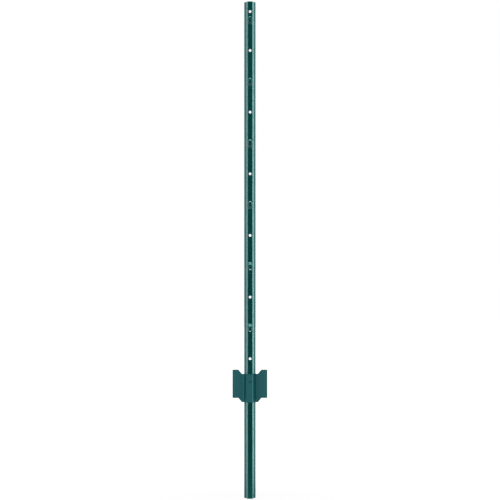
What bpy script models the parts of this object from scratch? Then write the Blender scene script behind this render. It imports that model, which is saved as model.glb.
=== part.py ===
"""Light-duty U-channel fence post with a welded anchor plate.

The post is one strip of steel, pierced and lanced while it is flat and then roll-formed
into a hat section. Its closed side, the web, carries the holes and the hooks. The anchor
plate is a second pressing, folded as a saddle over the closed side, with a wing to each
side, and spot-welded to the web above the foot.

Metres, +Z up the post. The origin is at the foot, in the middle of the web's thickness.
-Y is the closed side, where the fencing hangs.
"""

import math

import bmesh
import bpy
from mathutils import Matrix, Vector

MM = 0.001

# Post section, over the skin that faces the fence
POST_LENGTH = 1524 * MM
POST_WIDTH = 35.0 * MM
POST_DEPTH = 28.0 * MM
POST_STEEL = 1.5 * MM
WEB_WIDTH = 16.2 * MM
MOUTH_WIDTH = 25.4 * MM
FLANGE_SPLAY = math.radians(20)
POST_FOLD_RADIUS = 0.5 * MM
FLANGE_CORNER_RADIUS = 3.0 * MM

# Row in the web: a hole at the top, then one hook and one hole to each pitch, down to the plate
TOP_HOLE_DROP = 31.2 * MM
HOOK_BELOW_TOP_HOLE = 25.3 * MM
HOLE_BELOW_HOOK = 93.9 * MM
ROW_PITCH = 188.9 * MM
ROW_ABOVE_PLATE = 12.0 * MM
HOLE_DIAMETER = 8.0 * MM

# Hooks lanced out of the web: the lowest ones point down and the others up
DOWN_HOOKS = 2
HOOK_WINDOW = 25.4 * MM
HOOK_SETBACK = 1.8 * MM
HOOK_WIDTH = 9.4 * MM
HOOK_ROOT_LAND = 0.3 * MM
HOOK_SLOPE_RUN = 9.0 * MM
HOOK_STANDOFF = 6.5 * MM
HOOK_FOLD_RADIUS = 2.5 * MM
HOOK_CROWN = 0.3 * MM
LANCE_SIDE_GAP = 0.25 * MM
LANCE_TIP_GAP = 0.3 * MM

# Anchor plate
PLATE_FOOT = 295.0 * MM
PLATE_WIDTH = 106.8 * MM
PLATE_HEIGHT = 87.0 * MM
PLATE_STEP = 12.8 * MM
PLATE_STEP_INNER = 24.6 * MM
PLATE_STEP_OUTER = 35.3 * MM
PLATE_STEEL = 1.5 * MM
PLATE_CORNER_RADIUS = 2.0 * MM
PLATE_FOLD_RADIUS = 1.5 * MM
CROWN_LEFT_OVERHANG = 4.0 * MM
CROWN_RIGHT_OVERHANG = 1.2 * MM
SADDLE_CLEARANCE = 0.4 * MM
SEAT_GAP = 0.3 * MM

# Electrode marks of the spot weld, on the plate's face and inside the web
WELD_BELOW_CROWN_TOP = 24.0 * MM
WELD_MARK_DIAMETER = 9.0 * MM
WELD_MARK_DEPTH = 0.35 * MM
WELD_MARK_SLOPE = 4.0
WELD_CUTTER_REACH = 1.0 * MM

# Facets
FOLD_SEGMENTS = 5
CORNER_SEGMENTS = 4
HOLE_SEGMENTS = 28
HOOK_COLUMNS = 6
HOOK_TIP_SEGMENTS = 5
WELD_SEGMENTS = 24

SHARP_ANGLE = math.radians(32)

# Baked coating, glossier on the post than on the plate
POST_COLOUR = (0.0028, 0.052, 0.049, 1.0)
POST_ROUGHNESS = 0.38
PLATE_COLOUR = (0.019, 0.116, 0.112, 1.0)
PLATE_ROUGHNESS = 0.45

# Skins that face the fence, and the plate's top
SKIN_Y = -POST_STEEL / 2
FLANGE_SWEEP = (POST_WIDTH - MOUTH_WIDTH) / 2 * math.tan(FLANGE_SPLAY)
FLANGE_Y = SKIN_Y + POST_DEPTH - FLANGE_SWEEP - POST_STEEL * math.cos(FLANGE_SPLAY)
CROWN_Y = SKIN_Y - SEAT_GAP - PLATE_STEEL
PLATE_TOP = PLATE_FOOT + PLATE_HEIGHT + PLATE_STEP


def clear_scene():
    for obj in list(bpy.data.objects):
        bpy.data.objects.remove(obj)


def new_collection(name):
    collection = bpy.data.collections.new(name)
    bpy.context.scene.collection.children.link(collection)
    return collection


def steel_finish(name, colour, roughness):
    material = bpy.data.materials.new(name)
    material.use_nodes = True
    shader = material.node_tree.nodes["Principled BSDF"]
    shader.inputs["Base Color"].default_value = colour
    shader.inputs["Roughness"].default_value = roughness
    shader.inputs["Metallic"].default_value = 0.0
    return material


def rounded_path(corners, radii):
    """Points along straight runs that tangent arcs join, with one radius for each inner corner."""
    corners = [Vector(corner) for corner in corners]
    points = [corners[0]]
    for before, corner, after, radius in zip(corners, corners[1:], corners[2:], radii):
        back = (before - corner).normalized()
        ahead = (after - corner).normalized()
        half_angle = back.angle(ahead) / 2
        centre = corner + (back + ahead).normalized() * radius / math.sin(half_angle)
        start = corner + back * radius / math.tan(half_angle) - centre
        end = corner + ahead * radius / math.tan(half_angle) - centre
        for step in range(FOLD_SEGMENTS + 1):
            turned = start.normalized().slerp(end.normalized(), step / FOLD_SEGMENTS)
            points.append(centre + turned * radius)
    points.append(corners[-1])
    return points


def corner_insets(radius):
    """Distances in from a sheet's side at which its rounded corner gets a point, the side first."""
    quarter = [step * math.pi / 2 / CORNER_SEGMENTS for step in range(CORNER_SEGMENTS + 1)]
    return [radius * (1 - math.cos(angle)) for angle in quarter]


def corner_drop(inset, radius):
    """How far a rounded corner falls short of the sheet's end, that distance in from its side."""
    left = min(radius, max(0.0, radius - inset))
    return radius - math.sqrt(radius**2 - left**2)


def drawn_sheet(bm, path, rows):
    """An open sheet facing -Y: the path's points at each row's height. Gives its faces, row by row."""
    lines = [[bm.verts.new((x, y, height(x))) for x, y in path] for height in rows]
    faces = []
    for low, high in zip(lines, lines[1:]):
        cells = zip(low, low[1:], high[1:], high)
        faces.append([bm.faces.new(cell) for cell in cells])
    return faces


def post_path():
    """The post's section from its left side to its right, and the place of the web in it."""
    tip_y = FLANGE_Y + FLANGE_SWEEP
    corners = [
        (-POST_WIDTH / 2, tip_y),
        (-MOUTH_WIDTH / 2, FLANGE_Y),
        (-WEB_WIDTH / 2, SKIN_Y),
        (WEB_WIDTH / 2, SKIN_Y),
        (MOUTH_WIDTH / 2, FLANGE_Y),
        (POST_WIDTH / 2, tip_y),
    ]
    outer = POST_FOLD_RADIUS + POST_STEEL
    folds = rounded_path(corners, [POST_FOLD_RADIUS, outer, outer, POST_FOLD_RADIUS])[1:-1]
    insets = corner_insets(FLANGE_CORNER_RADIUS)
    side = [Vector((POST_WIDTH / 2 - inset, tip_y - inset * math.tan(FLANGE_SPLAY))) for inset in insets]
    left = [Vector((-point.x, point.y)) for point in side]
    path = left + folds + side[::-1]
    web = len(left) + 2 * (FOLD_SEGMENTS + 1) - 1
    return path, web


def row_heights(first, half):
    """Heights at the row's pitch for openings of one kind, which stop short of the anchor plate."""
    heights = []
    height = first
    while height - half > PLATE_TOP + ROW_ABOVE_PLATE:
        heights.append(height)
        height -= ROW_PITCH
    return heights


def web_row():
    """Heights of the round holes, and for each hook its window's middle and which way it points."""
    top_hole = POST_LENGTH - TOP_HOLE_DROP
    first_hook = top_hole - HOOK_BELOW_TOP_HOLE
    holes = [top_hole] + row_heights(first_hook - HOLE_BELOW_HOOK, HOLE_DIAMETER / 2)
    places = row_heights(first_hook, HOOK_WINDOW / 2)
    ways = [1] * (len(places) - DOWN_HOOKS) + [-1] * DOWN_HOOKS
    hooks = [(place - upward * HOOK_SETBACK, upward) for place, upward in zip(places, ways)]
    return holes, hooks


def bay_lines(openings):
    """Heights that part the web into bays with one opening each, above a plain bay behind the plate."""
    lines = [0.0, PLATE_TOP]
    for (below, half_below), (above, half_above) in zip(openings, openings[1:]):
        lines.append((below + half_below + above - half_above) / 2)
    return lines + [POST_LENGTH]


def hook_columns(half):
    return [half * (2 * column / HOOK_COLUMNS - 1) for column in range(HOOK_COLUMNS + 1)]


def window_outline(middle, upward):
    """The lanced window: a straight root that carries the hook, two sides and a round end."""
    half = HOOK_WIDTH / 2 + LANCE_SIDE_GAP
    root = middle - upward * HOOK_WINDOW / 2
    shoulder = root + upward * (HOOK_WINDOW - half)
    points = [(-half, root)]
    points += [(x, root) for x in hook_columns(HOOK_WIDTH / 2)]
    points.append((half, root))
    steps = 2 * (HOOK_TIP_SEGMENTS + 1)
    for step in range(steps + 1):
        angle = math.pi * step / steps
        points.append((half * math.cos(angle), shoulder + upward * half * math.sin(angle)))
    return points


def hook_stations():
    """The hook from its root to its tip: (height above the root, rise off the web, half width)."""
    rise = HOOK_STANDOFF
    half = HOOK_WIDTH / 2
    half_slope = math.atan2(rise, HOOK_SLOPE_RUN) / 2
    foot = HOOK_ROOT_LAND + HOOK_FOLD_RADIUS * math.tan(half_slope)
    head = foot + HOOK_SLOPE_RUN
    corners = [(0.0, 0.0), (foot, 0.0), (head, rise), (head + HOOK_WINDOW, rise)]
    line = rounded_path(corners, [HOOK_FOLD_RADIUS, HOOK_FOLD_RADIUS + POST_STEEL])[:-1]
    formed = sum((b - a).length for a, b in zip(line, line[1:]))
    tip = line[-1].x + HOOK_WINDOW - LANCE_TIP_GAP - formed
    stations = [(point.x, point.y, half) for point in line[1:]]
    for step in range(HOOK_TIP_SEGMENTS + 1):
        angle = math.pi / 2 * step / (HOOK_TIP_SEGMENTS + 1)
        stations.append((tip - half + half * math.sin(angle), rise, half * math.cos(angle)))
    return stations, tip


def add_hook(bm, root_line, middle, upward):
    """Lofts a hook up from its root: a crowned tongue that slopes off the web and then runs along it."""
    root = middle - upward * HOOK_WINDOW / 2
    stations, tip = hook_stations()

    def skin(x, along, rise):
        crown = HOOK_CROWN * min(1.0, rise / HOOK_STANDOFF) * (2 * x / HOOK_WIDTH) ** 2
        return bm.verts.new((x, SKIN_Y - rise + crown, root + upward * along))

    def face(*corners):
        bm.faces.new(corners if upward > 0 else corners[::-1])

    line = root_line
    for along, rise, reach in stations:
        above = [skin(x, along, rise) for x in hook_columns(reach)]
        for a, b, c, d in zip(line, line[1:], above[1:], above):
            face(a, b, c, d)
        line = above
    point = skin(0.0, tip, HOOK_STANDOFF)
    for a, b in zip(line, line[1:]):
        face(a, b, point)


def closed_line(bm, points):
    """Edges of a closed line of points on the web's skin, and its vertices in order."""
    verts = [bm.verts.new((x, SKIN_Y, z)) for x, z in points]
    edges = [bm.edges.new(pair) for pair in zip(verts, verts[1:] + verts[:1])]
    return verts, edges


def pierced_bay(bm, face, edges):
    """Replaces a plain bay of the web by one with an opening in it."""
    border = list(face.edges)
    bmesh.ops.delete(bm, geom=[face], context="FACES_ONLY")
    filled = bmesh.ops.triangle_fill(bm, use_beauty=True, edges=border + edges, normal=(0, -1, 0))
    for item in filled["geom"]:
        if isinstance(item, bmesh.types.BMFace):
            item.normal_update()
            if item.normal.y > 0:
                item.normal_flip()


def round_line(bm, height):
    turn = Matrix.Translation((0, SKIN_Y, height)) @ Matrix.Rotation(math.pi / 2, 4, "X")
    made = bmesh.ops.create_circle(bm, segments=HOLE_SEGMENTS, radius=HOLE_DIAMETER / 2, matrix=turn)
    return list({edge for vert in made["verts"] for edge in vert.link_edges})


def post_rows(lines):
    """A height for each bay line: level, but for the rounded corners at the post's two ends."""

    def level(height, end):
        def at(x):
            inset = POST_WIDTH / 2 - abs(x)
            return height - end * corner_drop(inset, FLANGE_CORNER_RADIUS)

        return at

    ends = [-1] + [0] * (len(lines) - 2) + [1]
    return [level(height, end) for height, end in zip(lines, ends)]


def new_object(name, bm, collection, material, steel):
    """An object with the sheet's thickness, laid on behind its drawn skin."""
    mesh = bpy.data.meshes.new(name)
    bm.normal_update()
    bm.to_mesh(mesh)
    bm.free()
    mesh.shade_smooth()
    mesh.set_sharp_from_angle(angle=SHARP_ANGLE)
    mesh.materials.append(material)
    obj = bpy.data.objects.new(name, mesh)
    collection.objects.link(obj)
    wall = obj.modifiers.new("steel", "SOLIDIFY")
    wall.thickness = steel
    wall.offset = -1.0
    wall.use_even_offset = True
    wall.use_quality_normals = True
    return obj


def channel_post(collection, material):
    path, web = post_path()
    holes, hooks = web_row()
    openings = [(height, HOLE_DIAMETER / 2) for height in holes]
    openings += [(middle, HOOK_WINDOW / 2) for middle, _ in hooks]
    openings.sort()
    bm = bmesh.new()
    faces = drawn_sheet(bm, path, post_rows(bay_lines(openings)))
    bm.normal_update()
    bays = {height: row[web] for (height, _), row in zip(openings, faces[1:])}
    for height in holes:
        pierced_bay(bm, bays[height], round_line(bm, height))
    for middle, upward in hooks:
        verts, edges = closed_line(bm, window_outline(middle, upward))
        pierced_bay(bm, bays[middle], edges)
        root_line = verts[1 : HOOK_COLUMNS + 2]
        add_hook(bm, root_line, middle, upward)
    return new_object("channel_post", bm, collection, material, POST_STEEL)


def plate_path():
    """The plate's section from its left side to its right: wing, saddle, wing."""
    left_corner = -WEB_WIDTH / 2 - CROWN_LEFT_OVERHANG
    right_corner = WEB_WIDTH / 2 + CROWN_RIGHT_OVERHANG
    lean = math.atan2(POST_WIDTH / 2 - right_corner, FLANGE_Y - CROWN_Y)
    base = POST_WIDTH / 2 + SADDLE_CLEARANCE + PLATE_STEEL / math.cos(lean)
    corners = [
        (-PLATE_STEP_INNER, FLANGE_Y),
        (-base, FLANGE_Y),
        (left_corner, CROWN_Y),
        (right_corner, CROWN_Y),
        (base, FLANGE_Y),
        (PLATE_STEP_INNER, FLANGE_Y),
    ]
    outer = PLATE_FOLD_RADIUS + PLATE_STEEL
    folds = rounded_path(corners, [PLATE_FOLD_RADIUS, outer, outer, PLATE_FOLD_RADIUS])
    side = [PLATE_WIDTH / 2 - inset for inset in corner_insets(PLATE_CORNER_RADIUS)]
    side.append(PLATE_STEP_OUTER)
    left = [Vector((-x, FLANGE_Y)) for x in side]
    right = [Vector((x, FLANGE_Y)) for x in side[::-1]]
    return left + folds + right


def plate_edge(low, end):
    """Height of the plate's lower or upper edge: the wings stand a step above the middle."""

    def at(x):
        span = PLATE_STEP_OUTER - PLATE_STEP_INNER
        share = min(1.0, max(0.0, (abs(x) - PLATE_STEP_INNER) / span))
        inset = PLATE_WIDTH / 2 - abs(x)
        return low + PLATE_STEP * share - end * corner_drop(inset, PLATE_CORNER_RADIUS)

    return at


def anchor_plate(collection, material, post):
    bm = bmesh.new()
    drawn_sheet(bm, plate_path(), [plate_edge(0.0, -1), plate_edge(PLATE_HEIGHT, 1)])
    plate = new_object("anchor_plate", bm, collection, material, PLATE_STEEL)
    plate.parent = post
    plate.location = (0, 0, PLATE_FOOT)
    return plate


def weld_mark(collection, target, face_y, inward):
    """Presses a shallow round mark into a face: a cone that narrows as it goes in."""
    height = WELD_MARK_DEPTH + WELD_CUTTER_REACH
    radius = WELD_MARK_DIAMETER / 2
    bpy.ops.mesh.primitive_cone_add(
        vertices=WELD_SEGMENTS,
        radius1=radius + WELD_CUTTER_REACH * WELD_MARK_SLOPE,
        radius2=radius - WELD_MARK_DEPTH * WELD_MARK_SLOPE,
        depth=height,
        location=(0, face_y + inward * (WELD_MARK_DEPTH - height / 2), weld_height()),
        rotation=(-inward * math.pi / 2, 0, 0),
    )
    cutter = bpy.context.object
    cutter.name = "weld_mark_on_" + target.name
    cutter.hide_render = True
    cutter.display_type = "WIRE"
    for owner in list(cutter.users_collection):
        owner.objects.unlink(cutter)
    collection.objects.link(cutter)
    cut = target.modifiers.new("weld mark", "BOOLEAN")
    cut.operation = "DIFFERENCE"
    cut.solver = "EXACT"
    cut.object = cutter


def weld_height():
    return PLATE_FOOT + PLATE_HEIGHT - WELD_BELOW_CROWN_TOP


clear_scene()
parts = new_collection("u_channel_fence_post")
cutters = new_collection("cutters")
post = channel_post(parts, steel_finish("post_coating", POST_COLOUR, POST_ROUGHNESS))
plate = anchor_plate(parts, steel_finish("plate_coating", PLATE_COLOUR, PLATE_ROUGHNESS), post)
weld_mark(cutters, plate, CROWN_Y, 1)
weld_mark(cutters, post, SKIN_Y + POST_STEEL, -1)
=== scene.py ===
import math

import bmesh
import bpy
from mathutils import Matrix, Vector


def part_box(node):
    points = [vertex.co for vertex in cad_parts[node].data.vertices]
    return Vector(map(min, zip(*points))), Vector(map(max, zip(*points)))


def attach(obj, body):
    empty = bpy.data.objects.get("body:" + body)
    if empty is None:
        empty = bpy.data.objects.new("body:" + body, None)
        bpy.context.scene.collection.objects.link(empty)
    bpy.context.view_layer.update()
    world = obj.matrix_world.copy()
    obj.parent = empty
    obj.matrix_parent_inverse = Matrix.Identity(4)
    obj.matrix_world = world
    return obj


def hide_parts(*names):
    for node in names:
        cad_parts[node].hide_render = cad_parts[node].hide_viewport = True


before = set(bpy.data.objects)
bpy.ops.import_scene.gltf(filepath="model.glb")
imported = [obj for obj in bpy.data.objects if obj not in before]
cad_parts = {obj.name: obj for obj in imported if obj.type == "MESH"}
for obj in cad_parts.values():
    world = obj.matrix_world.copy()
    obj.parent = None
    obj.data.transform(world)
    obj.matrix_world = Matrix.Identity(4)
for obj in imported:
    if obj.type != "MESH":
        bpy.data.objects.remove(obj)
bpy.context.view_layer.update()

# Channel post: one strip of 1.5 mm steel, pierced and lanced while flat, roll-formed into a hat
# section with round holes and wire hooks down its closed side, and coated with a dark green-blue
# baked enamel that rounds the sheared edges, with a painted highlight in paler turquoise along them.
MM = 0.001
post_low, post_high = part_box("channel_post")
LENGTH = post_high.z
STEEL = 1.5 * MM
SKIN_Y = -STEEL / 2
WEB_WIDTH = 16.2 * MM
MOUTH_WIDTH = 25.4 * MM
INNER_FOLD = 0.5 * MM
FLANGE_SPLAY = math.radians(20)
FLANGE_CORNER = 3.0 * MM
FLANGE_SWEEP = (post_high.x - MOUTH_WIDTH / 2) * math.tan(FLANGE_SPLAY)
FLANGE_Y = post_high.y - FLANGE_SWEEP - STEEL * math.cos(FLANGE_SPLAY)

# The row of holes and hooks, from the top down.
HOLE_BELOW_TOP = 31.2 * MM
HOOK_BELOW_TOP_HOLE = 25.3 * MM
HOLE_BELOW_HOOK = 93.9 * MM
ROW_PITCH = 188.9 * MM
TOP_HOLE = LENGTH - HOLE_BELOW_TOP
FIRST_HOOK = TOP_HOLE - HOOK_BELOW_TOP_HOLE
UP_HOOKS = 4
DOWN_HOOKS = 2
HOLE_RADIUS = 4.0 * MM

# One hook and its window, and the stretch of strip round them.
HOOK_INSIDE_BOX = 0.04 * MM
HOOK_WINDOW = 25.4 * MM
HOOK_SETBACK = 1.8 * MM
HOOK_REACH = SKIN_Y - post_low.y - HOOK_INSIDE_BOX
HOOK_RUN = 9.0 * MM
HOOK_ROOT = 0.3 * MM
HOOK_FOLD = 2.5 * MM
HOOK_CAMBER = 0.5 * MM
HOOK_LEAN = 0.17 * MM
HOOK_STRETCH = 0.7 * MM
TONGUE_HALF = 4.7 * MM
TIP_FULLNESS = 0.6
LANCE_SIDE_GAP = 0.1 * MM
LANCE_ROLL = 0.2 * MM
WINDOW_HALF = TONGUE_HALF + LANCE_SIDE_GAP
HOOK_BAY_HALF = 18.0 * MM
BAY_LAND = 1.5 * MM

# How closely the mesh follows the folds and round ends.
FOLD_STEPS = 8
CORNER_STEPS = 6
HOOK_COLUMNS = 12
HOLE_SIDE_STEPS = 8
HOLE_RING = 0.4
WINDOW_STEPS = 6
ROUND_END_STEPS = 4
WELD_DISTANCE = 0.01 * MM

# The sheared edges, and the point attribute that marks them for a painted highlight.
EDGE_ROUND = 0.07 * MM
EDGE_SEGMENTS = 2
SHARP = math.radians(35)
EDGE_HIGHLIGHT_ATTRIBUTE = "sheared"
TONGUE_SIDE_HIGHLIGHT = 0.75


def spaced(low, high, steps):
    """Values from low to high in equal steps, both ends included."""
    return [low + (high - low) * step / steps for step in range(steps + 1)]


def folded_line(corners, radii):
    """Points along straight runs with a tangent arc at each inner corner."""
    corners = [Vector(corner) for corner in corners]
    line = [corners[0]]
    for before, corner, after, radius in zip(corners, corners[1:], corners[2:], radii):
        back = (before - corner).normalized()
        ahead = (after - corner).normalized()
        half = back.angle(ahead) / 2
        centre = corner + (back + ahead).normalized() * radius / math.sin(half)
        start = corner + back * radius / math.tan(half) - centre
        end = corner + ahead * radius / math.tan(half) - centre
        for step in range(FOLD_STEPS + 1):
            arm = start.normalized().slerp(end.normalized(), step / FOLD_STEPS)
            line.append(centre + arm * radius)
    return line + [corners[-1]]


def corner_insets(radius):
    """How far in from the sheet's side its rounded corner gets a point."""
    return [radius * (1 - math.cos(angle)) for angle in spaced(0.0, math.pi / 2, CORNER_STEPS)]


def corner_drop(inset, radius):
    """How far a rounded corner falls short of the sheet's end, that far in from its side."""
    left = min(radius, max(0.0, radius - inset))
    return radius - math.sqrt(radius**2 - left**2)


def half_section():
    """The right half of the hat section, from the edge of the flat web to the flange's edge."""
    tip_y = FLANGE_Y + FLANGE_SWEEP
    corners = [(0, SKIN_Y), (WEB_WIDTH / 2, SKIN_Y), (MOUTH_WIDTH / 2, FLANGE_Y), (post_high.x, tip_y)]
    folds = folded_line(corners, [INNER_FOLD + STEEL, INNER_FOLD])[1:-1]
    flange = []
    for inset in corner_insets(FLANGE_CORNER)[::-1]:
        flange.append(Vector((post_high.x - inset, tip_y - inset * math.tan(FLANGE_SPLAY))))
    return folds + flange


# The whole section's points from left to right. The flat web is from WEB_LEFT to WEB_RIGHT.
half_line = half_section()
FLAT_HALF = half_line[0].x
tongue_columns = spaced(-TONGUE_HALF, TONGUE_HALF, HOOK_COLUMNS)
web_columns = [-WINDOW_HALF] + tongue_columns + [WINDOW_HALF]
section = [Vector((-point.x, point.y)) for point in half_line[::-1]]
WEB_LEFT = len(section) - 1
section += [Vector((x, SKIN_Y)) for x in web_columns] + half_line
WEB_RIGHT = len(section) - len(half_line)


def new_strip():
    """An empty mesh with the point attribute that marks sheared edges for their painted highlight."""
    bm = bmesh.new()
    bm.verts.layers.float.new(EDGE_HIGHLIGHT_ATTRIBUTE)
    return bm


def mark_edge_highlight(bm, verts, share=1.0):
    """Marks the points of a sheared edge with how much painted highlight they get."""
    mark = bm.verts.layers.float[EDGE_HIGHLIGHT_ATTRIBUTE]
    for vert in verts:
        vert[mark] = share


def bridge(bm, outer, inner):
    """A band of faces between two lines of as many points, which may share an end."""
    for corners in zip(outer, outer[1:], inner[1:], inner):
        bm.faces.new(list(dict.fromkeys(corners)))


def in_web(column):
    """Whether the faces to the right of this column of points are in the flat web."""
    return WEB_LEFT <= column < WEB_RIGHT


def whole(row, column):
    """A stretch of strip with no opening."""
    return False


def level(height, x):
    """A row of points that all lie at its height."""
    return 0.0


def square_round_hole(row, column):
    """The opening for a punched hole, in a stretch of strip with one row of faces below it."""
    return 1 <= row <= HOLE_SIDE_STEPS and in_web(column)


def clipped(height, x):
    """How far the clipped corners of the flanges drop from the post's top, or rise from its foot."""
    short = corner_drop(post_high.x - abs(x), FLANGE_CORNER)
    return short * ((height == LENGTH) - (height == 0))


def sheet_grid(bm, heights, is_open, drop=level):
    """The strip's skin as rows of points at these heights, with faces where it isn't open."""
    grid = []
    for height in heights:
        grid.append([bm.verts.new((x, y, height - drop(height, x))) for x, y in section])
    for row, (low, high) in enumerate(zip(grid, grid[1:])):
        for column in range(len(section) - 1):
            if not is_open(row, column):
                bm.faces.new((low[column], low[column + 1], high[column + 1], high[column]))
    return grid


def pierced_strip(bm, bottom, centre, above, drop=level):
    """A stretch of strip from its bottom up past one punched hole to the heights above it."""
    across_hole = spaced(centre - FLAT_HALF, centre + FLAT_HALF, HOLE_SIDE_STEPS)
    grid = sheet_grid(bm, [bottom, *across_hole, *above], square_round_hole, drop)
    square = grid[1 : HOLE_SIDE_STEPS + 2]
    border = square[0][WEB_LEFT:WEB_RIGHT]
    border += [row[WEB_RIGHT] for row in square[:-1]]
    border += square[-1][WEB_RIGHT:WEB_LEFT:-1]
    border += [row[WEB_LEFT] for row in square[:0:-1]]
    lower_left = math.radians(-135)
    ring = []
    rim = []
    for place, vert in enumerate(border):
        angle = lower_left + 2 * math.pi * place / len(border)
        on_rim = Vector((HOLE_RADIUS * math.cos(angle), SKIN_Y, centre + HOLE_RADIUS * math.sin(angle)))
        rim.append(bm.verts.new(on_rim))
        ring.append(bm.verts.new(on_rim.lerp(vert.co, HOLE_RING)))
    bridge(bm, border + border[:1], ring + ring[:1])
    bridge(bm, ring + ring[:1], rim + rim[:1])
    mark_edge_highlight(bm, rim)


def hook_stations():
    """The hook's heights above its root, each with its rise off the web, to where the tip starts."""
    half_slope = math.atan2(HOOK_REACH, HOOK_RUN) / 2
    foot = HOOK_ROOT + HOOK_FOLD * math.tan(half_slope)
    head = foot + HOOK_RUN
    corners = [(0, 0), (foot, 0), (head, HOOK_REACH), (head + HOOK_WINDOW, HOOK_REACH)]
    line = folded_line(corners, [HOOK_FOLD, HOOK_FOLD + STEEL])[:-1]
    formed = sum((b - a).length for a, b in zip(line, line[1:]))
    tip = line[-1].x + HOOK_WINDOW + HOOK_STRETCH - formed
    return [tuple(point) for point in line[1:]] + [(tip - TONGUE_HALF, HOOK_REACH)]


def lance_hook(bm, root_line, root, lean):
    """Bends the cut tongue up from its root: off the web, then along it, to a round tip."""

    def skin(x, along, rise):
        bent = min(1.0, rise / HOOK_REACH)
        camber = HOOK_CAMBER * bent * (x / TONGUE_HALF) ** 2
        return bm.verts.new((x + lean * bent, SKIN_Y - rise + camber, root + along))

    line = root_line
    for along, rise in hook_stations():
        above = [skin(x, along, rise) for x in tongue_columns]
        bridge(bm, line, above)
        mark_edge_highlight(bm, (above[0], above[-1]), TONGUE_SIDE_HIGHLIGHT)
        line = above
    tip = []
    for angle in spaced(math.pi, 0.0, HOOK_COLUMNS)[1:-1]:
        reach = TONGUE_HALF * math.sin(angle) ** TIP_FULLNESS
        tip.append(skin(TONGUE_HALF * math.cos(angle), along + reach, HOOK_REACH))
    bridge(bm, line, [line[0], *tip, line[-1]])
    mark_edge_highlight(bm, tip)


def as_object(name, bm):
    """The finished mesh as an object in the scene."""
    mesh = bpy.data.meshes.new(name)
    bm.normal_update()
    bm.to_mesh(mesh)
    bm.free()
    made = bpy.data.objects.new(name, mesh)
    bpy.context.scene.collection.objects.link(made)
    return made


def hook_bay(lean):
    """A stretch of the strip round one hook, which points up and leans a little to one side."""
    root = -HOOK_WINDOW / 2 - HOOK_SETBACK
    shoulder = root + HOOK_WINDOW - LANCE_ROLL - WINDOW_HALF
    above = root + HOOK_WINDOW + BAY_LAND
    rows = [-HOOK_BAY_HALF]
    rows += spaced(root, shoulder, WINDOW_STEPS)[:-1]
    rows += spaced(shoulder, above, ROUND_END_STEPS)
    rows.append(HOOK_BAY_HALF)
    shoulder_row = 1 + WINDOW_STEPS
    top_row = shoulder_row + ROUND_END_STEPS

    def window(row, column):
        """Straight sides beside the tongue, then all the web up to the land over the round end."""
        if shoulder_row <= row < top_row:
            return in_web(column)
        return 1 <= row < shoulder_row and WEB_LEFT < column < WEB_RIGHT - 1

    bm = new_strip()
    grid = sheet_grid(bm, rows, window)
    border = [grid[row][WEB_RIGHT] for row in range(shoulder_row, top_row)]
    border += grid[top_row][WEB_RIGHT:WEB_LEFT:-1]
    border += [grid[row][WEB_LEFT] for row in range(top_row, shoulder_row - 1, -1)]
    arc = [grid[shoulder_row][WEB_RIGHT - 1]]
    for angle in spaced(0.0, math.pi, len(border) - 1)[1:-1]:
        height = shoulder + WINDOW_HALF * math.sin(angle)
        arc.append(bm.verts.new((WINDOW_HALF * math.cos(angle), SKIN_Y, height)))
    arc.append(grid[shoulder_row][WEB_LEFT + 1])
    bridge(bm, border, arc)
    mark_edge_highlight(bm, arc)
    lance_hook(bm, grid[1][WEB_LEFT + 2 : WEB_RIGHT - 1], root, lean)
    return as_object("hook bay", bm)


def hole_bay():
    """A stretch of the strip round one hole, from the hook above it to the hook below."""
    bm = new_strip()
    bottom = HOOK_BAY_HALF - (ROW_PITCH - HOLE_BELOW_HOOK)
    pierced_strip(bm, bottom, 0.0, [HOLE_BELOW_HOOK - HOOK_BAY_HALF])
    return as_object("hole bay", bm)


def post_ends():
    """The post's two ends, with the flange corners clipped round, and the topmost hole."""
    bm = new_strip()
    rounded = 2 * FLANGE_CORNER
    pierced_strip(bm, FIRST_HOOK + HOOK_BAY_HALF, TOP_HOLE, [LENGTH - rounded, LENGTH], clipped)
    last_hole = FIRST_HOOK - HOLE_BELOW_HOOK - (UP_HOOKS + DOWN_HOOKS - 1) * ROW_PITCH
    below = last_hole + HOOK_BAY_HALF - (ROW_PITCH - HOLE_BELOW_HOOK)
    sheet_grid(bm, [0.0, rounded, below], whole, clipped)
    return as_object("post ends", bm)


class Signal:
    """One socket of a node tree. Arithmetic on it adds Math nodes, and node() adds any other."""

    def __init__(self, tree, socket=None):
        self.tree = tree
        self.socket = socket

    def node(self, kind, settings=(), sockets=(), output=0):
        """Adds a node: its settings first, then the values or links of its sockets."""
        made = self.tree.nodes.new(kind)
        for name, value in dict(settings).items():
            setattr(made, name, value)
        for name, value in dict(sockets).items():
            if isinstance(value, Signal):
                self.tree.links.new(value.socket, made.inputs[name])
            else:
                made.inputs[name].default_value = value
        return Signal(self.tree, made.outputs[output]) if len(made.outputs) else None

    def maths(self, operation, *values):
        return self.node("ShaderNodeMath", {"operation": operation}, dict(enumerate(values)))

    def __add__(self, other):
        return self.maths("ADD", self, other)

    def __sub__(self, other):
        return self.maths("SUBTRACT", self, other)

    def __rsub__(self, other):
        return self.maths("SUBTRACT", other, self)

    def __mul__(self, other):
        return self.maths("MULTIPLY", self, other)

    __radd__ = __add__
    __rmul__ = __mul__


def smooth_step(value, low, high):
    """0 up to low, 1 from high on, and a smooth rise between them."""
    span = {"Value": value, "From Min": low, "From Max": high}
    return value.node("ShaderNodeMapRange", {"interpolation_type": "SMOOTHSTEP"}, span)


# The baked coating's own texture, the same on both pressings.
ORANGE_PEEL = {"Scale": 700.0, "Detail": 2.0}
CLOUDING = {"Scale": 45.0, "Detail": 4.0}
ROLL_LINES = {"Scale": 1.0, "Detail": 1.0}
ROLL_STRETCH = (900.0, 900.0, 9.0)
ROLL_LINE_SHARE = 0.4
PEEL_HEIGHT = 0.004 * MM
UNEVEN_TINT = 0.1
UNEVEN_ROUGHNESS = 0.12
NOISE_MEAN = 0.5


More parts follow.
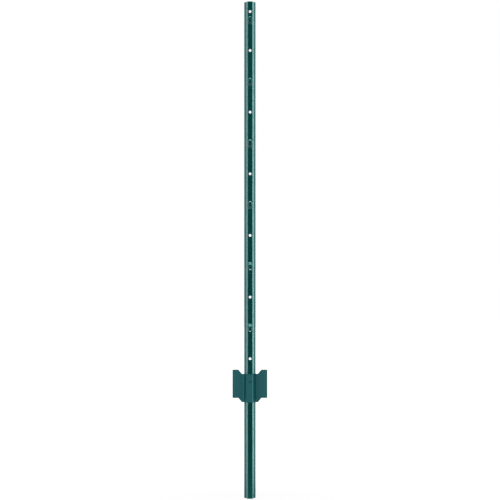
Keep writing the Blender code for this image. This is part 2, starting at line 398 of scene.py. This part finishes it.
def coated_steel(name, colour, roughness, finish, gloss_at, second_colour, second_at, shade_at=None):
    """Baked coating over drawn steel: orange peel, faint roll lines, slightly uneven tint and gloss.

    gloss_at, second_at and shade_at take the place on the piece and give how glossy the coating is
    there, how far the second colour replaces the first, and how much lighter or darker it is.
    """
    material = bpy.data.materials.new(name)
    material.use_nodes = True
    tree = material.node_tree
    tree.nodes.clear()
    here = Signal(tree).node("ShaderNodeTexCoord", output="Object")
    along = here.node("ShaderNodeMapping", sockets={"Vector": here, "Scale": ROLL_STRETCH})
    pores = here.node("ShaderNodeTexNoise", sockets={"Vector": here, **ORANGE_PEEL})
    cloud = here.node("ShaderNodeTexNoise", sockets={"Vector": here, **CLOUDING})
    lines = here.node("ShaderNodeTexNoise", sockets={"Vector": along, **ROLL_LINES})
    shade = (cloud - NOISE_MEAN) * UNEVEN_TINT + 1.0
    if shade_at:
        shade = shade * shade_at(here)
    shading = {"data_type": "RGBA", "blend_type": "MULTIPLY"}
    shaded = {"Factor": 1.0, "A": colour, "B": shade}
    tint = here.node("ShaderNodeMix", shading, shaded, output="Result")
    both = {"Factor": second_at(here), "A": tint, "B": second_colour}
    tint = here.node("ShaderNodeMix", {"data_type": "RGBA"}, both, output="Result")
    relief = {"Strength": 1.0, "Distance": PEEL_HEIGHT, "Height": pores + lines * ROLL_LINE_SHARE}
    surface = here.node(
        "ShaderNodeBsdfPrincipled",
        sockets={
            "Base Color": tint,
            "Roughness": (cloud - NOISE_MEAN) * UNEVEN_ROUGHNESS + roughness,
            "Coat Weight": gloss_at(here),
            "Normal": here.node("ShaderNodeBump", sockets=relief),
            **finish,
        },
    )
    here.node("ShaderNodeOutputMaterial", sockets={"Surface": surface})
    return material


# The post's colour and gloss. A pair of values is where a soft border starts and ends.
POST_COLOUR = (0.0012, 0.096, 0.089, 1.0)
POST_ROUGHNESS = 0.3
POST_FINISH = {
    "Metallic": 0.6,
    "Specular IOR Level": 0.0,
    "Specular Tint": (0.05, 1.0, 1.0, 1.0),
    "Coat Roughness": 0.35,
}
# A paler turquoise painted along the sheared edges as a highlight.
EDGE_HIGHLIGHT_COLOUR = (0.05, 0.36, 0.34, 1.0)
EDGE_BORDER = (0.35, 1.0)
EDGE_HIGHLIGHT_SHARE = 0.85
WEB_GLOSS = 0.15
WEB_BORDER = (FLAT_HALF - STEEL / 2, FLAT_HALF)
SLOPE_FOOT = (STEEL * 0.6, STEEL)
SLOPE_HEAD = (-post_low.y - STEEL, -post_low.y - STEEL / 4)
CROWN_BORDER = (TONGUE_HALF * 0.4, TONGUE_HALF * 0.85)


def painted_edge_highlight(here):
    """Where a paler painted highlight lies, along the sheared edges of holes and hooks."""
    near = here.node("ShaderNodeAttribute", {"attribute_name": EDGE_HIGHLIGHT_ATTRIBUTE}, output="Fac")
    return smooth_step(near, *EDGE_BORDER) * EDGE_HIGHLIGHT_SHARE


def post_gloss(here):
    """The clear gloss: full on folds, walls, flanges and the crown of a hook's slope, else thin."""
    axes = {"Vector": here}
    across, outward = [here.node("ShaderNodeSeparateXYZ", sockets=axes, output=axis) for axis in "XY"]
    off = across.maths("ABSOLUTE", across)
    rise = -1 * outward
    aside = smooth_step(off, *WEB_BORDER)
    crown = 1 - smooth_step(off, *CROWN_BORDER)
    slope = smooth_step(rise, *SLOPE_FOOT) * (1 - smooth_step(rise, *SLOPE_HEAD)) * crown
    return 1 - (1 - aside) * (1 - slope) * (1 - WEB_GLOSS)


post_coating = coated_steel(
    "post coating",
    colour=POST_COLOUR,
    roughness=POST_ROUGHNESS,
    finish=POST_FINISH,
    gloss_at=post_gloss,
    second_colour=EDGE_HIGHLIGHT_COLOUR,
    second_at=painted_edge_highlight,
)


def row_tree(coating):
    """Sets hook bays and hole bays down the post at the row's pitch, and joins the two ends on."""
    tree = bpy.data.node_groups.new("web row", "GeometryNodeTree")
    kinds = {
        "Up Bay": "NodeSocketObject",
        "Down Bay": "NodeSocketObject",
        "Hole Bay": "NodeSocketObject",
        "Ends": "NodeSocketObject",
        "Up Hooks": "NodeSocketInt",
        "Down Hooks": "NodeSocketInt",
        "First Hook": "NodeSocketFloat",
        "First Hole": "NodeSocketFloat",
        "Pitch": "NodeSocketFloat",
        "Weld Distance": "NodeSocketFloat",
    }
    tree.interface.new_socket("Geometry", in_out="OUTPUT", socket_type="NodeSocketGeometry")
    keys = {}
    for name, kind in kinds.items():
        keys[name] = tree.interface.new_socket(name, in_out="INPUT", socket_type=kind).identifier
    inputs = tree.nodes.new("NodeGroupInput")
    given = {name: Signal(tree, inputs.outputs[name]) for name in kinds}
    start = Signal(tree)

    def piece(name):
        return start.node("GeometryNodeObjectInfo", sockets={"Object": given[name]}, output="Geometry")

    def row(bay, count, first, turned=0.0):
        start_at = start.node("ShaderNodeCombineXYZ", sockets={"Z": first})
        step = start.node("ShaderNodeCombineXYZ", sockets={"Z": given["Pitch"] * -1.0})
        line = {"Count": count, "Start Location": start_at, "Offset": step}
        points = start.node("GeometryNodeMeshLine", sockets=line)
        laid = {"Points": points, "Instance": piece(bay), "Rotation": (0.0, turned, 0.0)}
        return start.node("GeometryNodeInstanceOnPoints", sockets=laid)

    up, down, first_hook = given["Up Hooks"], given["Down Hooks"], given["First Hook"]
    parts = [
        row("Up Bay", up, first_hook),
        row("Down Bay", down, first_hook - up * given["Pitch"], math.pi),
        row("Hole Bay", up + down, given["First Hole"]),
        piece("Ends"),
    ]
    joined = tree.nodes.new("GeometryNodeJoinGeometry")
    for part in parts:
        tree.links.new(part.socket, joined.inputs["Geometry"])
    strip_parts = Signal(tree, joined.outputs["Geometry"])
    real = start.node("GeometryNodeRealizeInstances", sockets={"Geometry": strip_parts})
    closed = {"Geometry": real, "Distance": given["Weld Distance"]}
    merged = start.node("GeometryNodeMergeByDistance", sockets=closed)
    coated = start.node("GeometryNodeSetMaterial", sockets={"Geometry": merged, "Material": coating})
    start.node("NodeGroupOutput", sockets={"Geometry": coated})
    return tree, keys


def plain_mesh(made, name):
    """The object as it is evaluated, as a plain mesh in a new object. The old one is removed."""
    graph = bpy.context.evaluated_depsgraph_get()
    mesh = bpy.data.meshes.new_from_object(made.evaluated_get(graph))
    bpy.data.objects.remove(made)
    mesh.name = name
    finished = bpy.data.objects.new(name, mesh)
    bpy.context.scene.collection.objects.link(finished)
    return finished


def give_wall(made):
    """The sheet's thickness behind its skin, sheared edges that the coating rounds, even shading."""
    wall = made.modifiers.new("steel", "SOLIDIFY")
    wall.thickness = STEEL
    wall.offset = -1.0
    wall.use_even_offset = True
    wall.use_quality_normals = True
    edge = made.modifiers.new("coated edges", "BEVEL")
    edge.width = EDGE_ROUND
    edge.segments = EDGE_SEGMENTS
    edge.limit_method = "ANGLE"
    edge.angle_limit = SHARP
    edge.use_clamp_overlap = False
    edge.miter_outer = "MITER_ARC"
    shade = made.modifiers.new("even shading", "WEIGHTED_NORMAL")
    shade.keep_sharp = True


bays = {
    "Up Bay": hook_bay(-HOOK_LEAN),
    "Down Bay": hook_bay(HOOK_LEAN),
    "Hole Bay": hole_bay(),
    "Ends": post_ends(),
}
row_values = {
    "Up Hooks": UP_HOOKS,
    "Down Hooks": DOWN_HOOKS,
    "First Hook": FIRST_HOOK,
    "First Hole": FIRST_HOOK - HOLE_BELOW_HOOK,
    "Pitch": ROW_PITCH,
    "Weld Distance": WELD_DISTANCE,
}
strip = bpy.data.objects.new("strip", bpy.data.meshes.new("strip"))
bpy.context.scene.collection.objects.link(strip)
tree, keys = row_tree(post_coating)
rolled = strip.modifiers.new("web row", "NODES")
rolled.node_group = tree
for name, value in {**bays, **row_values}.items():
    rolled[keys[name]] = value
strip = plain_mesh(strip, "strip")
strip.data.shade_smooth()
for bay in bays.values():
    bpy.data.objects.remove(bay)
give_wall(strip)
post = plain_mesh(strip, "channel_post_coated")
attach(post, "root")
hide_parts("channel_post")

# Anchor plate: a second pressing of the same steel, folded as a saddle over the closed side with a
# flat wing to each side, coated in a lighter, flatter green-blue, and spot-welded to the web. Painted
# shade darkens the saddle's walls, and painted highlights run along two of its folds.
plate_low, plate_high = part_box("anchor_plate")
WING_HALF = plate_high.x
WING_Y = plate_high.y - STEEL
PLATE_STEP = 12.8 * MM
STEP_INNER = 24.6 * MM
STEP_OUTER = 35.3 * MM
PLATE_CORNER = 2.0 * MM
PLATE_FOLD = 1.5 * MM
SADDLE_CLEARANCE = 0.4 * MM
CROWN_Y = plate_low.y
CROWN_LEFT_OVERHANG = 4.0 * MM
CROWN_RIGHT_OVERHANG = 1.2 * MM
CROWN_RIGHT = WEB_WIDTH / 2 + CROWN_RIGHT_OVERHANG
CROWN_COLUMNS = 16

# The spot weld's dished mark.
WELD_DROP = 24.0 * MM
WELD_HEIGHT = plate_high.z - PLATE_STEP - WELD_DROP
WELD_RADIUS = 4.5 * MM
WELD_DEPTH = 0.35 * MM
WELD_STEP = 0.75 * MM


def plate_line():
    """The plate's section: wing, saddle, wing, with close columns across the crown for the weld."""
    lean = math.atan2(post_high.x - CROWN_RIGHT, WING_Y - CROWN_Y)
    base = post_high.x + SADDLE_CLEARANCE + STEEL / math.cos(lean)
    crown_left = -WEB_WIDTH / 2 - CROWN_LEFT_OVERHANG
    left_half = [(-STEP_INNER, WING_Y), (-base, WING_Y), (crown_left, CROWN_Y)]
    corners = left_half + [(CROWN_RIGHT, CROWN_Y), (base, WING_Y), (STEP_INNER, WING_Y)]
    outer = PLATE_FOLD + STEEL
    folds = folded_line(corners, [PLATE_FOLD, outer, outer, PLATE_FOLD])
    middle = len(folds) // 2
    a, b = folds[middle - 1], folds[middle]
    crown = [a.lerp(b, step / CROWN_COLUMNS) for step in range(1, CROWN_COLUMNS)]
    side = [WING_HALF - inset for inset in corner_insets(PLATE_CORNER)] + [STEP_OUTER]
    wing = [Vector((x, WING_Y)) for x in side]
    return [Vector((-x, y)) for x, y in wing] + folds[:middle] + crown + folds[middle:] + wing[::-1]


def anchor_sheet():
    """The plate's skin: its wings stand a step above the saddle, and their corners are round."""
    height = plate_high.z - plate_low.z - PLATE_STEP
    weld = WELD_HEIGHT - plate_low.z
    reach = math.ceil(WELD_RADIUS / WELD_STEP)
    near_weld = [weld + WELD_STEP * step for step in range(-reach, reach + 1)]
    rounded = 2 * PLATE_CORNER
    line = plate_line()
    bm = bmesh.new()
    grid = []
    for row in [0.0, rounded, *near_weld, height - rounded, height]:
        end = (row == height) - (row == 0)
        points = []
        for x, y in line:
            share = min(1.0, max(0.0, (abs(x) - STEP_INNER) / (STEP_OUTER - STEP_INNER)))
            drop = end * corner_drop(WING_HALF - abs(x), PLATE_CORNER)
            points.append(bm.verts.new((x, y, plate_low.z + row + PLATE_STEP * share - drop)))
        grid.append(points)
    for low, high in zip(grid, grid[1:]):
        bridge(bm, low, high)
    return as_object("anchor sheet", bm)


def press_mark(mesh):
    """Dishes the crown's outer face round the weld, as the electrode does, with a soft lip."""
    for vert in mesh.vertices:
        off = math.hypot(vert.co.x, vert.co.z - WELD_HEIGHT) / WELD_RADIUS
        if off < 1 and vert.co.y < CROWN_Y + STEEL / 4:
            vert.co.y += WELD_DEPTH * (1 - off**2) ** 2


PLATE_COLOUR = (0.0285, 0.139, 0.148, 1.0)
PLATE_ROUGHNESS = 0.55
PLATE_FINISH = {"Specular IOR Level": 0.02, "Coat Roughness": 0.25}
# A darker colour painted on the saddle's walls as shade, where they turn aside from the light.
WALL_SHADE_COLOUR = (0.0085, 0.125, 0.135, 1.0)
WALL_HEAD = (CROWN_Y + STEEL, CROWN_Y + 2 * STEEL)
WALL_FOOT = (WING_Y - 2 * STEEL, WING_Y - STEEL)
# The two folds that get a painted highlight, paler and glossier.
HIGHLIGHT_FOLDS = (CROWN_RIGHT - PLATE_FOLD, -post_high.x - SADDLE_CLEARANCE - STEEL)
FOLD_LINE_BORDER = (0.8 * MM, 1.6 * MM)
FOLD_HIGHLIGHT = 0.35
# How far round the weld's mark the colour is darker, and by how much.
WELD_BORDER = (WELD_RADIUS * 0.7, WELD_RADIUS * 1.6)
WELD_DARKENING = 0.28


def fold_highlight_lines(here):
    """Thin lines along two of the folds, for a painted highlight and more gloss there."""
    across = here.node("ShaderNodeSeparateXYZ", sockets={"Vector": here}, output="X")
    lines = 0.0
    for fold in HIGHLIGHT_FOLDS:
        away = across.maths("ABSOLUTE", across - fold)
        lines = lines + (1 - smooth_step(away, *FOLD_LINE_BORDER))
    return lines


def plate_shade(here):
    """Darker over the weld's mark, with a soft rim, and paler along two folds as a painted highlight.
    """
    middle = here.node("ShaderNodeCombineXYZ", sockets={"Y": CROWN_Y, "Z": WELD_HEIGHT})
    apart = {"operation": "DISTANCE"}
    away = here.node("ShaderNodeVectorMath", apart, {0: here, 1: middle}, output="Value")
    darkened = 1 - smooth_step(away, *WELD_BORDER)
    return (1 - WELD_DARKENING * darkened) * (1 + FOLD_HIGHLIGHT * fold_highlight_lines(here))


def painted_wall_shade(here):
    """The saddle's two walls, between crown and wings, which get a darker colour as painted shade."""
    outward = here.node("ShaderNodeSeparateXYZ", sockets={"Vector": here}, output="Y")
    return smooth_step(outward, *WALL_HEAD) * (1 - smooth_step(outward, *WALL_FOOT))


plate_coating = coated_steel(
    "plate coating",
    colour=PLATE_COLOUR,
    roughness=PLATE_ROUGHNESS,
    finish=PLATE_FINISH,
    gloss_at=fold_highlight_lines,
    second_colour=WALL_SHADE_COLOUR,
    second_at=painted_wall_shade,
    shade_at=plate_shade,
)
sheet = anchor_sheet()
sheet.data.shade_smooth()
sheet.data.materials.append(plate_coating)
give_wall(sheet)
plate = plain_mesh(sheet, "anchor_plate_coated")
press_mark(plate.data)
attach(plate, "root")
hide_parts("anchor_plate")

# Studio: a plain pale floor and room that show as white, and four soft lights on the coating. What
# the coating mirrors is a pair of bright panels in front to both sides, a pair behind and a narrow
# one above, so that only the faces turned aside pick up a sheen.
WHITE = (1.0, 1.0, 1.0, 1.0)
PALE = (0.8, 0.8, 0.8, 1.0)
FLOOR_HALF = 20.0
FLOOR_BORDER = (0.2, 0.9)
NEAR_FLOOR = 0.9
SEEN_FLOOR = 1.19
SHADOW_SHARE = 0.25
ROOM_FILL = 0.25

# How bright the panels are, and where each one's soft border lies in the mirrored direction.
FRONT_PANELS = 2.1
REAR_LEFT_PANEL = 2.4
REAR_RIGHT_PANEL = 4.6
TOP_PANEL = 3.2
BETWEEN = 0.25
FRONT_START = (-0.93, -0.80)
FRONT_END = (-0.5, -0.3)
REAR_START = (0.25, 0.45)
SIDE_START = (0.35, 0.65)
TOP_START = (0.7, 0.92)
TOP_SIDE_END = (0.15, 0.45)
BETWEEN_START = (-0.6, -0.3)


def panels_toward(direction):
    """How bright the mirrored panels are in a direction, with x to the right and y to the back."""
    axes = {"Vector": direction}
    x, y, z = [direction.node("ShaderNodeSeparateXYZ", sockets=axes, output=axis) for axis in "XYZ"]
    front = smooth_step(y, *FRONT_START) * (1 - smooth_step(y, *FRONT_END)) * FRONT_PANELS
    left = smooth_step(-1 * x, *SIDE_START) * REAR_LEFT_PANEL
    right = smooth_step(x, *SIDE_START) * REAR_RIGHT_PANEL
    rear = smooth_step(y, *REAR_START) * (left + right)
    narrow = 1 - smooth_step(x.maths("ABSOLUTE", x), *TOP_SIDE_END)
    above = smooth_step(z, *TOP_START) * narrow * TOP_PANEL
    return front + rear + above + smooth_step(y, *BETWEEN_START) * BETWEEN


def studio_world():
    """White where it is seen, the panels where it is mirrored, and a low fill on everything."""
    world = bpy.data.worlds.new("studio")
    bpy.context.scene.world = world
    world.use_nodes = True
    tree = world.node_tree
    tree.nodes.clear()
    start = Signal(tree)
    camera = start.node("ShaderNodeLightPath", output="Is Camera Ray")
    glossy = start.node("ShaderNodeLightPath", output="Is Glossy Ray")
    through = start.node("ShaderNodeLightPath", output="Is Transmission Ray")
    toward = start.node("ShaderNodeTexCoord", output="Generated")
    seen = start.maths("MINIMUM", camera + through, 1.0)
    room = glossy * panels_toward(toward) + (1 - glossy) * ROOM_FILL
    strength = seen + (1 - seen) * room
    light = start.node("ShaderNodeBackground", sockets={"Color": WHITE, "Strength": strength})
    start.node("ShaderNodeOutputWorld", sockets={"Surface": light})


def studio_floor():
    """White where it is seen, with a soft shadow at the foot. Far off it mirrors as the panels do."""
    bm = bmesh.new()
    reach = (-FLOOR_HALF, FLOOR_HALF)
    low, high = [[bm.verts.new((x, y, 0)) for x in reach] for y in reach]
    bridge(bm, low, high)
    floor = as_object("studio_floor", bm)
    material = bpy.data.materials.new("pale floor")
    material.use_nodes = True
    tree = material.node_tree
    tree.nodes.clear()
    start = Signal(tree)
    camera = start.node("ShaderNodeLightPath", output="Is Camera Ray")
    glossy = start.node("ShaderNodeLightPath", output="Is Glossy Ray")
    here = start.node("ShaderNodeTexCoord", output="Object")
    away = start.node("ShaderNodeVectorMath", {"operation": "LENGTH"}, {0: here}, output="Value")
    toward = start.node("ShaderNodeVectorMath", {"operation": "NORMALIZE"}, {0: here})
    far = smooth_step(away, *FLOOR_BORDER)
    mirrored = NEAR_FLOOR + far * (panels_toward(toward) - NEAR_FLOOR)
    level = camera * SEEN_FLOOR + (1 - camera) * mirrored
    matt = start.node("ShaderNodeBsdfDiffuse", sockets={"Color": PALE})
    bright = start.node("ShaderNodeEmission", sockets={"Color": WHITE, "Strength": level})
    share = glossy + camera * (1 - SHADOW_SHARE + far * SHADOW_SHARE)
    mixed = start.node("ShaderNodeMixShader", sockets={0: share, 1: matt, 2: bright})
    start.node("ShaderNodeOutputMaterial", sockets={"Surface": mixed})
    floor.data.materials.append(material)


def soft_light(name, place, width, height, level):
    """A large soft light on the post's middle, which the coating doesn't mirror."""
    lamp = bpy.data.lights.new(name, "AREA")
    lamp.shape = "RECTANGLE"
    lamp.size = width
    lamp.size_y = height
    lamp.energy = level * math.pi * width * height
    box = bpy.data.objects.new(name, lamp)
    bpy.context.scene.collection.objects.link(box)
    box.location = place
    toward_post = Vector((0, 0, LENGTH / 2)) - Vector(place)
    box.rotation_euler = toward_post.to_track_quat("-Z", "Y").to_euler()
    box.visible_camera = False
    box.visible_glossy = False


studio_world()
studio_floor()
soft_light("front light", place=(0, -4.0, 1.4), width=2.4, height=2.4, level=3.1)
soft_light("left light", place=(-2.2, -2.2, 1.3), width=1.2, height=2.4, level=1.1)
soft_light("right light", place=(2.2, -2.2, 1.3), width=1.2, height=2.4, level=0.7)
soft_light("overhead light", place=(0, -0.7, 3.2), width=1.6, height=1.8, level=1.5)

# Camera: level with the post's middle and far off, a little to the left of its front, so that
# slightly more of one wall shows than of the other. Its frame is just taller than the post.
CAMERA_DISTANCE = 9.0
CAMERA_AZIMUTH = math.radians(-1.5)
CAMERA_CLIP = 100.0
FRAME_HEIGHT = 1.532
FRAME_CENTRE = Vector((-0.0003, 0.0, 0.7623))
SENSOR = 36.0
camera = bpy.data.objects.new("camera", bpy.data.cameras.new("camera"))
bpy.context.scene.collection.objects.link(camera)
bpy.context.scene.camera = camera
back = Vector((math.sin(CAMERA_AZIMUTH), -math.cos(CAMERA_AZIMUTH), 0))
camera.location = FRAME_CENTRE + back * CAMERA_DISTANCE
camera.rotation_euler = (-back).to_track_quat("-Z", "Y").to_euler()
camera.data.sensor_width = SENSOR
camera.data.lens = SENSOR * CAMERA_DISTANCE / FRAME_HEIGHT
camera.data.clip_end = CAMERA_CLIP
bpy.context.scene.view_settings.view_transform = "Standard"
